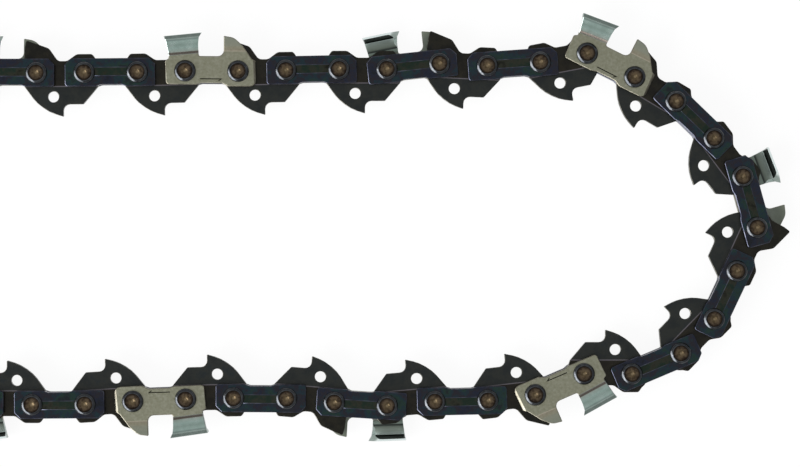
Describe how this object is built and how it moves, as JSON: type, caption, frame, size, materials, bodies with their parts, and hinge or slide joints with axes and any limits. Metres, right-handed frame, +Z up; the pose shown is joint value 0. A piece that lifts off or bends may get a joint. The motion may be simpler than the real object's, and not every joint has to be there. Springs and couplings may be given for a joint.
{
  "type": "chainsaw chain loop",
  "caption": "Closed loop of saw chain: cutters, tie straps and drive links on rivets, lying flat and slack.",
  "frame": {"origin": "middle of the loop's bounding box, on the surface that the loop lies on", "axes": "+X along the loop, the way the chain runs on its upper side; +Y across the loop; +Z up, towards the right-hand cutters"},
  "size_m": [0.2555, 0.0822, 0.0054],
  "materials": {
    "drive_steel": "blackened, oiled",
    "strap_steel": "blued",
    "cutter_steel": "satin bare steel",
    "chrome_plate": "hard chrome",
    "rivet_steel": "peened, bronze-brown"
  },
  "bodies": {
    "left_cutter_set_01": {"left_cutter_set_01": "cutter_steel"},
    "bumper_link_01": {"bumper_link_01": "drive_steel"},
    "tie_strap_set_02": {"tie_strap_set_02": "strap_steel"},
    "drive_link_02": {"drive_link_02": "drive_steel"},
    "right_cutter_set_03": {"right_cutter_set_03": "cutter_steel"},
    "bumper_link_03": {"bumper_link_03": "drive_steel"},
    "tie_strap_set_04": {"tie_strap_set_04": "strap_steel"},
    "drive_link_04": {"drive_link_04": "drive_steel"},
    "left_cutter_set_05": {"left_cutter_set_05": "cutter_steel"},
    "bumper_link_05": {"bumper_link_05": "drive_steel"},
    "tie_strap_set_06": {"tie_strap_set_06": "strap_steel"},
    "drive_link_06": {"drive_link_06": "drive_steel"},
    "right_cutter_set_07": {"right_cutter_set_07": "cutter_steel"},
    "bumper_link_07": {"bumper_link_07": "drive_steel"},
    "tie_strap_set_08": {"tie_strap_set_08": "strap_steel"},
    "drive_link_08": {"drive_link_08": "drive_steel"},
    "left_cutter_set_09": {"left_cutter_set_09": "cutter_steel"},
    "bumper_link_09": {"bumper_link_09": "drive_steel"},
    "tie_strap_set_10": {"tie_strap_set_10": "strap_steel"},
    "drive_link_10": {"drive_link_10": "drive_steel"},
    "tie_strap_set_11": {"tie_strap_set_11": "strap_steel"},
    "drive_link_11": {"drive_link_11": "drive_steel"},
    "right_cutter_set_12": {"right_cutter_set_12": "cutter_steel"},
    "bumper_link_12": {"bumper_link_12": "drive_steel"},
    "tie_strap_set_13": {"tie_strap_set_13": "strap_steel"},
    "drive_link_13": {"drive_link_13": "drive_steel"},
    "left_cutter_set_14": {"left_cutter_set_14": "cutter_steel"},
    "bumper_link_14": {"bumper_link_14": "drive_steel"},
    "tie_strap_set_15": {"tie_strap_set_15": "strap_steel"},
    "drive_link_15": {"drive_link_15": "drive_steel"},
    "right_cutter_set_16": {"right_cutter_set_16": "cutter_steel"},
    "bumper_link_16": {"bumper_link_16": "drive_steel"},
    "tie_strap_set_17": {"tie_strap_set_17": "strap_steel"},
    "drive_link_17": {"drive_link_17": "drive_steel"},
    "left_cutter_set_18": {"left_cutter_set_18": "cutter_steel"},
    "bumper_link_18": {"bumper_link_18": "drive_steel"},
    "tie_strap_set_19": {"tie_strap_set_19": "strap_steel"},
    "drive_link_19": {"drive_link_19": "drive_steel"},
    "right_cutter_set_20": {"right_cutter_set_20": "cutter_steel"},
    "bumper_link_20": {"bumper_link_20": "drive_steel"},
    "tie_strap_set_21": {"tie_strap_set_21": "strap_steel"},
    "drive_link_21": {"drive_link_21": "drive_steel"},
    "left_cutter_set_22": {"left_cutter_set_22": "cutter_steel"},
    "bumper_link_22": {"bumper_link_22": "drive_steel"},
    "tie_strap_set_23": {"tie_strap_set_23": "strap_steel"},
    "drive_link_23": {"drive_link_23": "drive_steel"},
    "right_cutter_set_24": {"right_cutter_set_24": "cutter_steel"},
    "bumper_link_24": {"bumper_link_24": "drive_steel"},
    "tie_strap_set_25": {"tie_strap_set_25": "strap_steel"},
    "drive_link_25": {"drive_link_25": "drive_steel"},
    "left_cutter_set_26": {"left_cutter_set_26": "cutter_steel"},
    "bumper_link_26": {"bumper_link_26": "drive_steel"},
    "tie_strap_set_27": {"tie_strap_set_27": "strap_steel"},
    "drive_link_27": {"drive_link_27": "drive_steel"},
    "right_cutter_set_28": {"right_cutter_set_28": "cutter_steel"},
    "bumper_link_28": {"bumper_link_28": "drive_steel"},
    "tie_strap_set_29": {"tie_strap_set_29": "strap_steel"},
    "drive_link_29": {"drive_link_29": "drive_steel"}
  },
  "joints": [
    {"name": "rivet_09_front", "type": "hinge", "parent": "bumper_link_09", "child": "left_cutter_set_09", "pos_m": [0.12164, 0.00145, 0.0027], "axis": [0, 0, 1], "range_deg": [-25, 9]},
    {"name": "rivet_09_rear", "type": "hinge", "parent": "left_cutter_set_09", "child": "drive_link_08", "pos_m": [0.11902, 0.01089, 0.0027], "axis": [0, 0, 1], "range_deg": [-9, 25]},
    {"name": "rivet_08_front", "type": "hinge", "parent": "drive_link_08", "child": "tie_strap_set_08", "pos_m": [0.1137, 0.01795, 0.0027], "axis": [0, 0, 1], "range_deg": [-25, 10]},
    {"name": "rivet_08_rear", "type": "hinge", "parent": "tie_strap_set_08", "child": "bumper_link_07", "pos_m": [0.10666, 0.02477, 0.0027], "axis": [0, 0, 1], "range_deg": [-10, 25]},
    {"name": "rivet_07_front", "type": "hinge", "parent": "bumper_link_07", "child": "right_cutter_set_07", "pos_m": [0.09906, 0.02928, 0.0027], "axis": [0, 0, 1], "range_deg": [-12, 30]},
    {"name": "rivet_07_rear", "type": "hinge", "parent": "right_cutter_set_07", "child": "drive_link_06", "pos_m": [0.09029, 0.03366, 0.0027], "axis": [0, 0, 1], "range_deg": [-30, 12]},
    {"name": "rivet_06_front", "type": "hinge", "parent": "drive_link_06", "child": "tie_strap_set_06", "pos_m": [0.0816, 0.03201, 0.0027], "axis": [0, 0, 1], "range_deg": [-22, 22]},
    {"name": "rivet_06_rear", "type": "hinge", "parent": "tie_strap_set_06", "child": "bumper_link_05", "pos_m": [0.07183, 0.03133, 0.0027], "axis": [0, 0, 1], "range_deg": [-22, 22]},
    {"name": "rivet_05_front", "type": "hinge", "parent": "bumper_link_05", "child": "left_cutter_set_05", "pos_m": [0.063, 0.03175, 0.0027], "axis": [0, 0, 1], "range_deg": [-25, 22]},
    {"name": "rivet_05_rear", "type": "hinge", "parent": "left_cutter_set_05", "child": "drive_link_04", "pos_m": [0.05325, 0.03072, 0.0027], "axis": [0, 0, 1], "range_deg": [-22, 25]},
    {"name": "rivet_04_front", "type": "hinge", "parent": "drive_link_04", "child": "tie_strap_set_04", "pos_m": [0.04441, 0.03072, 0.0027], "axis": [0, 0, 1], "range_deg": [-25, 25]},
    {"name": "rivet_04_rear", "type": "hinge", "parent": "tie_strap_set_04", "child": "bumper_link_03", "pos_m": [0.03461, 0.03052, 0.0027], "axis": [0, 0, 1], "range_deg": [-25, 25]},
    {"name": "rivet_03_front", "type": "hinge", "parent": "bumper_link_03", "child": "right_cutter_set_03", "pos_m": [0.02577, 0.03035, 0.0027], "axis": [0, 0, 1], "range_deg": [-25, 25]},
    {"name": "rivet_03_rear", "type": "hinge", "parent": "right_cutter_set_03", "child": "drive_link_02", "pos_m": [0.01597, 0.03042, 0.0027], "axis": [0, 0, 1], "range_deg": [-25, 25]},
    {"name": "rivet_02_front", "type": "hinge", "parent": "drive_link_02", "child": "tie_strap_set_02", "pos_m": [0.00714, 0.0302, 0.0027], "axis": [0, 0, 1], "range_deg": [-25, 25]},
    {"name": "rivet_02_rear", "type": "hinge", "parent": "tie_strap_set_02", "child": "bumper_link_01", "pos_m": [-0.00266, 0.03011, 0.0027], "axis": [0, 0, 1], "range_deg": [-25, 25]},
    {"name": "rivet_01_front", "type": "hinge", "parent": "bumper_link_01", "child": "left_cutter_set_01", "pos_m": [-0.0115, 0.03005, 0.0027], "axis": [0, 0, 1], "range_deg": [-24, 24]},
    {"name": "rivet_01_rear", "type": "hinge", "parent": "left_cutter_set_01", "child": "drive_link_29", "pos_m": [-0.0213, 0.03005, 0.0027], "axis": [0, 0, 1], "range_deg": [-24, 24]},
    {"name": "rivet_29_front", "type": "hinge", "parent": "drive_link_29", "child": "tie_strap_set_29", "pos_m": [-0.03014, 0.03036, 0.0027], "axis": [0, 0, 1], "range_deg": [-25, 25]},
    {"name": "rivet_29_rear", "type": "hinge", "parent": "tie_strap_set_29", "child": "bumper_link_28", "pos_m": [-0.03992, 0.03098, 0.0027], "axis": [0, 0, 1], "range_deg": [-25, 25]},
    {"name": "rivet_28_front", "type": "hinge", "parent": "bumper_link_28", "child": "right_cutter_set_28", "pos_m": [-0.04873, 0.03032, 0.0027], "axis": [0, 0, 1], "range_deg": [-25, 25]},
    {"name": "rivet_28_rear", "type": "hinge", "parent": "right_cutter_set_28", "child": "drive_link_27", "pos_m": [-0.05853, 0.02993, 0.0027], "axis": [0, 0, 1], "range_deg": [-25, 25]},
    {"name": "rivet_27_front", "type": "hinge", "parent": "drive_link_27", "child": "tie_strap_set_27", "pos_m": [-0.06728, 0.0287, 0.0027], "axis": [0, 0, 1], "range_deg": [-30, 6]},
    {"name": "rivet_27_rear", "type": "hinge", "parent": "tie_strap_set_27", "child": "bumper_link_26", "pos_m": [-0.07628, 0.02482, 0.0027], "axis": [0, 0, 1], "range_deg": [-6, 30]},
    {"name": "rivet_26_front", "type": "hinge", "parent": "bumper_link_26", "child": "left_cutter_set_26", "pos_m": [-0.08486, 0.02268, 0.0027], "axis": [0, 0, 1], "range_deg": [-25, 25]},
    {"name": "rivet_26_rear", "type": "hinge", "parent": "left_cutter_set_26", "child": "drive_link_25", "pos_m": [-0.09388, 0.01887, 0.0027], "axis": [0, 0, 1], "range_deg": [-25, 25]},
    {"name": "rivet_25_front", "type": "hinge", "parent": "drive_link_25", "child": "tie_strap_set_25", "pos_m": [-0.10208, 0.01556, 0.0027], "axis": [0, 0, 1], "range_deg": [-25, 9]},
    {"name": "rivet_25_rear", "type": "hinge", "parent": "tie_strap_set_25", "child": "bumper_link_24", "pos_m": [-0.10895, 0.00857, 0.0027], "axis": [0, 0, 1], "range_deg": [-9, 25]},
    {"name": "rivet_24_front", "type": "hinge", "parent": "bumper_link_24", "child": "right_cutter_set_24", "pos_m": [-0.11562, 0.00277, 0.0027], "axis": [0, 0, 1], "range_deg": [-18, 25]},
    {"name": "rivet_24_rear", "type": "hinge", "parent": "right_cutter_set_24", "child": "drive_link_23", "pos_m": [-0.11981, -0.00609, 0.0027], "axis": [0, 0, 1], "range_deg": [-25, 18]},
    {"name": "rivet_10_rear", "type": "hinge", "parent": "bumper_link_09", "child": "tie_strap_set_10", "pos_m": [0.11793, -0.00658, 0.0027], "axis": [0, 0, 1], "range_deg": [-18, 25]},
    {"name": "rivet_10_front", "type": "hinge", "parent": "tie_strap_set_10", "child": "drive_link_10", "pos_m": [0.11374, -0.01544, 0.0027], "axis": [0, 0, 1], "range_deg": [-25, 18]},
    {"name": "rivet_11_rear", "type": "hinge", "parent": "drive_link_10", "child": "tie_strap_set_11", "pos_m": [0.10757, -0.02177, 0.0027], "axis": [0, 0, 1], "range_deg": [-25, 25]},
    {"name": "rivet_11_front", "type": "hinge", "parent": "tie_strap_set_11", "child": "drive_link_11", "pos_m": [0.09854, -0.02558, 0.0027], "axis": [0, 0, 1], "range_deg": [-25, 25]},
    {"name": "rivet_12_rear", "type": "hinge", "parent": "drive_link_11", "child": "right_cutter_set_12", "pos_m": [0.0897, -0.02558, 0.0027], "axis": [0, 0, 1], "range_deg": [-30, 6]},
    {"name": "rivet_12_front", "type": "hinge", "parent": "right_cutter_set_12", "child": "bumper_link_12", "pos_m": [0.0807, -0.02946, 0.0027], "axis": [0, 0, 1], "range_deg": [-6, 30]},
    {"name": "rivet_13_rear", "type": "hinge", "parent": "bumper_link_12", "child": "tie_strap_set_13", "pos_m": [0.07192, -0.03047, 0.0027], "axis": [0, 0, 1], "range_deg": [-25, 25]},
    {"name": "rivet_13_front", "type": "hinge", "parent": "tie_strap_set_13", "child": "drive_link_13", "pos_m": [0.06212, -0.03068, 0.0027], "axis": [0, 0, 1], "range_deg": [-25, 25]},
    {"name": "rivet_14_rear", "type": "hinge", "parent": "drive_link_13", "child": "left_cutter_set_14", "pos_m": [0.05331, -0.03146, 0.0027], "axis": [0, 0, 1], "range_deg": [-25, 25]},
    {"name": "rivet_14_front", "type": "hinge", "parent": "left_cutter_set_14", "child": "bumper_link_14", "pos_m": [0.04353, -0.03085, 0.0027], "axis": [0, 0, 1], "range_deg": [-25, 25]},
    {"name": "rivet_15_rear", "type": "hinge", "parent": "bumper_link_14", "child": "tie_strap_set_15", "pos_m": [0.03472, -0.03012, 0.0027], "axis": [0, 0, 1], "range_deg": [-25, 25]},
    {"name": "rivet_15_front", "type": "hinge", "parent": "tie_strap_set_15", "child": "drive_link_15", "pos_m": [0.02492, -0.03005, 0.0027], "axis": [0, 0, 1], "range_deg": [-25, 25]},
    {"name": "rivet_16_rear", "type": "hinge", "parent": "drive_link_15", "child": "right_cutter_set_16", "pos_m": [0.01609, -0.03027, 0.0027], "axis": [0, 0, 1], "range_deg": [-25, 25]},
    {"name": "rivet_16_front", "type": "hinge", "parent": "right_cutter_set_16", "child": "bumper_link_16", "pos_m": [0.00629, -0.03066, 0.0027], "axis": [0, 0, 1], "range_deg": [-25, 25]},
    {"name": "rivet_17_rear", "type": "hinge", "parent": "bumper_link_16", "child": "tie_strap_set_17", "pos_m": [-0.00253, -0.0312, 0.0027], "axis": [0, 0, 1], "range_deg": [-25, 25]},
    {"name": "rivet_17_front", "type": "hinge", "parent": "tie_strap_set_17", "child": "drive_link_17", "pos_m": [-0.01233, -0.03129, 0.0027], "axis": [0, 0, 1], "range_deg": [-25, 25]},
    {"name": "rivet_18_rear", "type": "hinge", "parent": "drive_link_17", "child": "left_cutter_set_18", "pos_m": [-0.02117, -0.03129, 0.0027], "axis": [0, 0, 1], "range_deg": [-24, 24]},
    {"name": "rivet_18_front", "type": "hinge", "parent": "left_cutter_set_18", "child": "bumper_link_18", "pos_m": [-0.03097, -0.03129, 0.0027], "axis": [0, 0, 1], "range_deg": [-24, 24]},
    {"name": "rivet_19_rear", "type": "hinge", "parent": "bumper_link_18", "child": "tie_strap_set_19", "pos_m": [-0.03979, -0.03191, 0.0027], "axis": [0, 0, 1], "range_deg": [-25, 22]},
    {"name": "rivet_19_front", "type": "hinge", "parent": "tie_strap_set_19", "child": "drive_link_19", "pos_m": [-0.04953, -0.03293, 0.0027], "axis": [0, 0, 1], "range_deg": [-22, 25]},
    {"name": "rivet_20_rear", "type": "hinge", "parent": "drive_link_19", "child": "right_cutter_set_20", "pos_m": [-0.05832, -0.03385, 0.0027], "axis": [0, 0, 1], "range_deg": [-22, 22]},
    {"name": "rivet_20_front", "type": "hinge", "parent": "right_cutter_set_20", "child": "bumper_link_20", "pos_m": [-0.0681, -0.03454, 0.0027], "axis": [0, 0, 1], "range_deg": [-22, 22]},
    {"name": "rivet_21_rear", "type": "hinge", "parent": "bumper_link_20", "child": "tie_strap_set_21", "pos_m": [-0.07694, -0.03438, 0.0027], "axis": [0, 0, 1], "range_deg": [-25, 9]},
    {"name": "rivet_21_front", "type": "hinge", "parent": "tie_strap_set_21", "child": "drive_link_21", "pos_m": [-0.08643, -0.03193, 0.0027], "axis": [0, 0, 1], "range_deg": [-9, 25]},
    {"name": "rivet_22_rear", "type": "hinge", "parent": "drive_link_21", "child": "left_cutter_set_22", "pos_m": [-0.09504, -0.02994, 0.0027], "axis": [0, 0, 1], "range_deg": [-12, 30]},
    {"name": "rivet_22_front", "type": "hinge", "parent": "left_cutter_set_22", "child": "bumper_link_22", "pos_m": [-0.10381, -0.02557, 0.0027], "axis": [0, 0, 1], "range_deg": [-30, 12]},
    {"name": "rivet_23_rear", "type": "hinge", "parent": "bumper_link_22", "child": "tie_strap_set_23", "pos_m": [-0.11176, -0.02169, 0.0027], "axis": [0, 0, 1], "range_deg": [-25, 10]}
  ],
  "couplings": [
    {"joint": "rivet_09_front", "follows": "rivet_25_front", "ratio": 1},
    {"joint": "rivet_09_rear", "follows": "rivet_25_front", "ratio": -1},
    {"joint": "rivet_08_front", "follows": "rivet_23_rear", "ratio": 1},
    {"joint": "rivet_08_rear", "follows": "rivet_23_rear", "ratio": -1},
    {"joint": "rivet_07_front", "follows": "rivet_22_rear", "ratio": 1},
    {"joint": "rivet_07_rear", "follows": "rivet_22_rear", "ratio": -1},
    {"joint": "rivet_06_front", "follows": "rivet_20_rear", "ratio": 1},
    {"joint": "rivet_06_rear", "follows": "rivet_20_rear", "ratio": -1},
    {"joint": "rivet_05_front", "follows": "rivet_19_rear", "ratio": 1},
    {"joint": "rivet_05_rear", "follows": "rivet_19_rear", "ratio": -1},
    {"joint": "rivet_04_rear", "follows": "rivet_04_front", "ratio": -1},
    {"joint": "rivet_03_rear", "follows": "rivet_03_front", "ratio": -1},
    {"joint": "rivet_02_front", "follows": "rivet_17_rear", "ratio": 1},
    {"joint": "rivet_02_rear", "follows": "rivet_17_rear", "ratio": -1},
    {"joint": "rivet_01_front", "follows": "rivet_18_rear", "ratio": 1},
    {"joint": "rivet_01_rear", "follows": "rivet_18_rear", "ratio": -1},
    {"joint": "rivet_29_rear", "follows": "rivet_29_front", "ratio": -1},
    {"joint": "rivet_28_rear", "follows": "rivet_28_front", "ratio": -1},
    {"joint": "rivet_27_rear", "follows": "rivet_27_front", "ratio": -1},
    {"joint": "rivet_26_rear", "follows": "rivet_26_front", "ratio": -1},
    {"joint": "rivet_25_rear", "follows": "rivet_25_front", "ratio": -1},
    {"joint": "rivet_24_rear", "follows": "rivet_24_front", "ratio": -1},
    {"joint": "rivet_10_rear", "follows": "rivet_24_front", "ratio": 1},
    {"joint": "rivet_10_front", "follows": "rivet_24_front", "ratio": -1},
    {"joint": "rivet_11_rear", "follows": "rivet_26_front", "ratio": 1},
    {"joint": "rivet_11_front", "follows": "rivet_26_front", "ratio": -1},
    {"joint": "rivet_12_rear", "follows": "rivet_27_front", "ratio": 1},
    {"joint": "rivet_12_front", "follows": "rivet_27_front", "ratio": -1},
    {"joint": "rivet_13_rear", "follows": "rivet_04_front", "ratio": 1},
    {"joint": "rivet_13_front", "follows": "rivet_04_front", "ratio": -1},
    {"joint": "rivet_14_rear", "follows": "rivet_29_front", "ratio": 1},
    {"joint": "rivet_14_front", "follows": "rivet_29_front", "ratio": -1},
    {"joint": "rivet_15_rear", "follows": "rivet_03_front", "ratio": 1},
    {"joint": "rivet_15_front", "follows": "rivet_03_front", "ratio": -1},
    {"joint": "rivet_16_rear", "follows": "rivet_28_front", "ratio": 1},
    {"joint": "rivet_16_front", "follows": "rivet_28_front", "ratio": -1},
    {"joint": "rivet_17_front", "follows": "rivet_17_rear", "ratio": -1},
    {"joint": "rivet_18_front", "follows": "rivet_18_rear", "ratio": -1},
    {"joint": "rivet_19_front", "follows": "rivet_19_rear", "ratio": -1},
    {"joint": "rivet_20_front", "follows": "rivet_20_rear", "ratio": -1},
    {"joint": "rivet_21_rear", "follows": "rivet_25_front", "ratio": 1},
    {"joint": "rivet_21_front", "follows": "rivet_25_front", "ratio": -1},
    {"joint": "rivet_22_front", "follows": "rivet_22_rear", "ratio": -1}
  ]
}
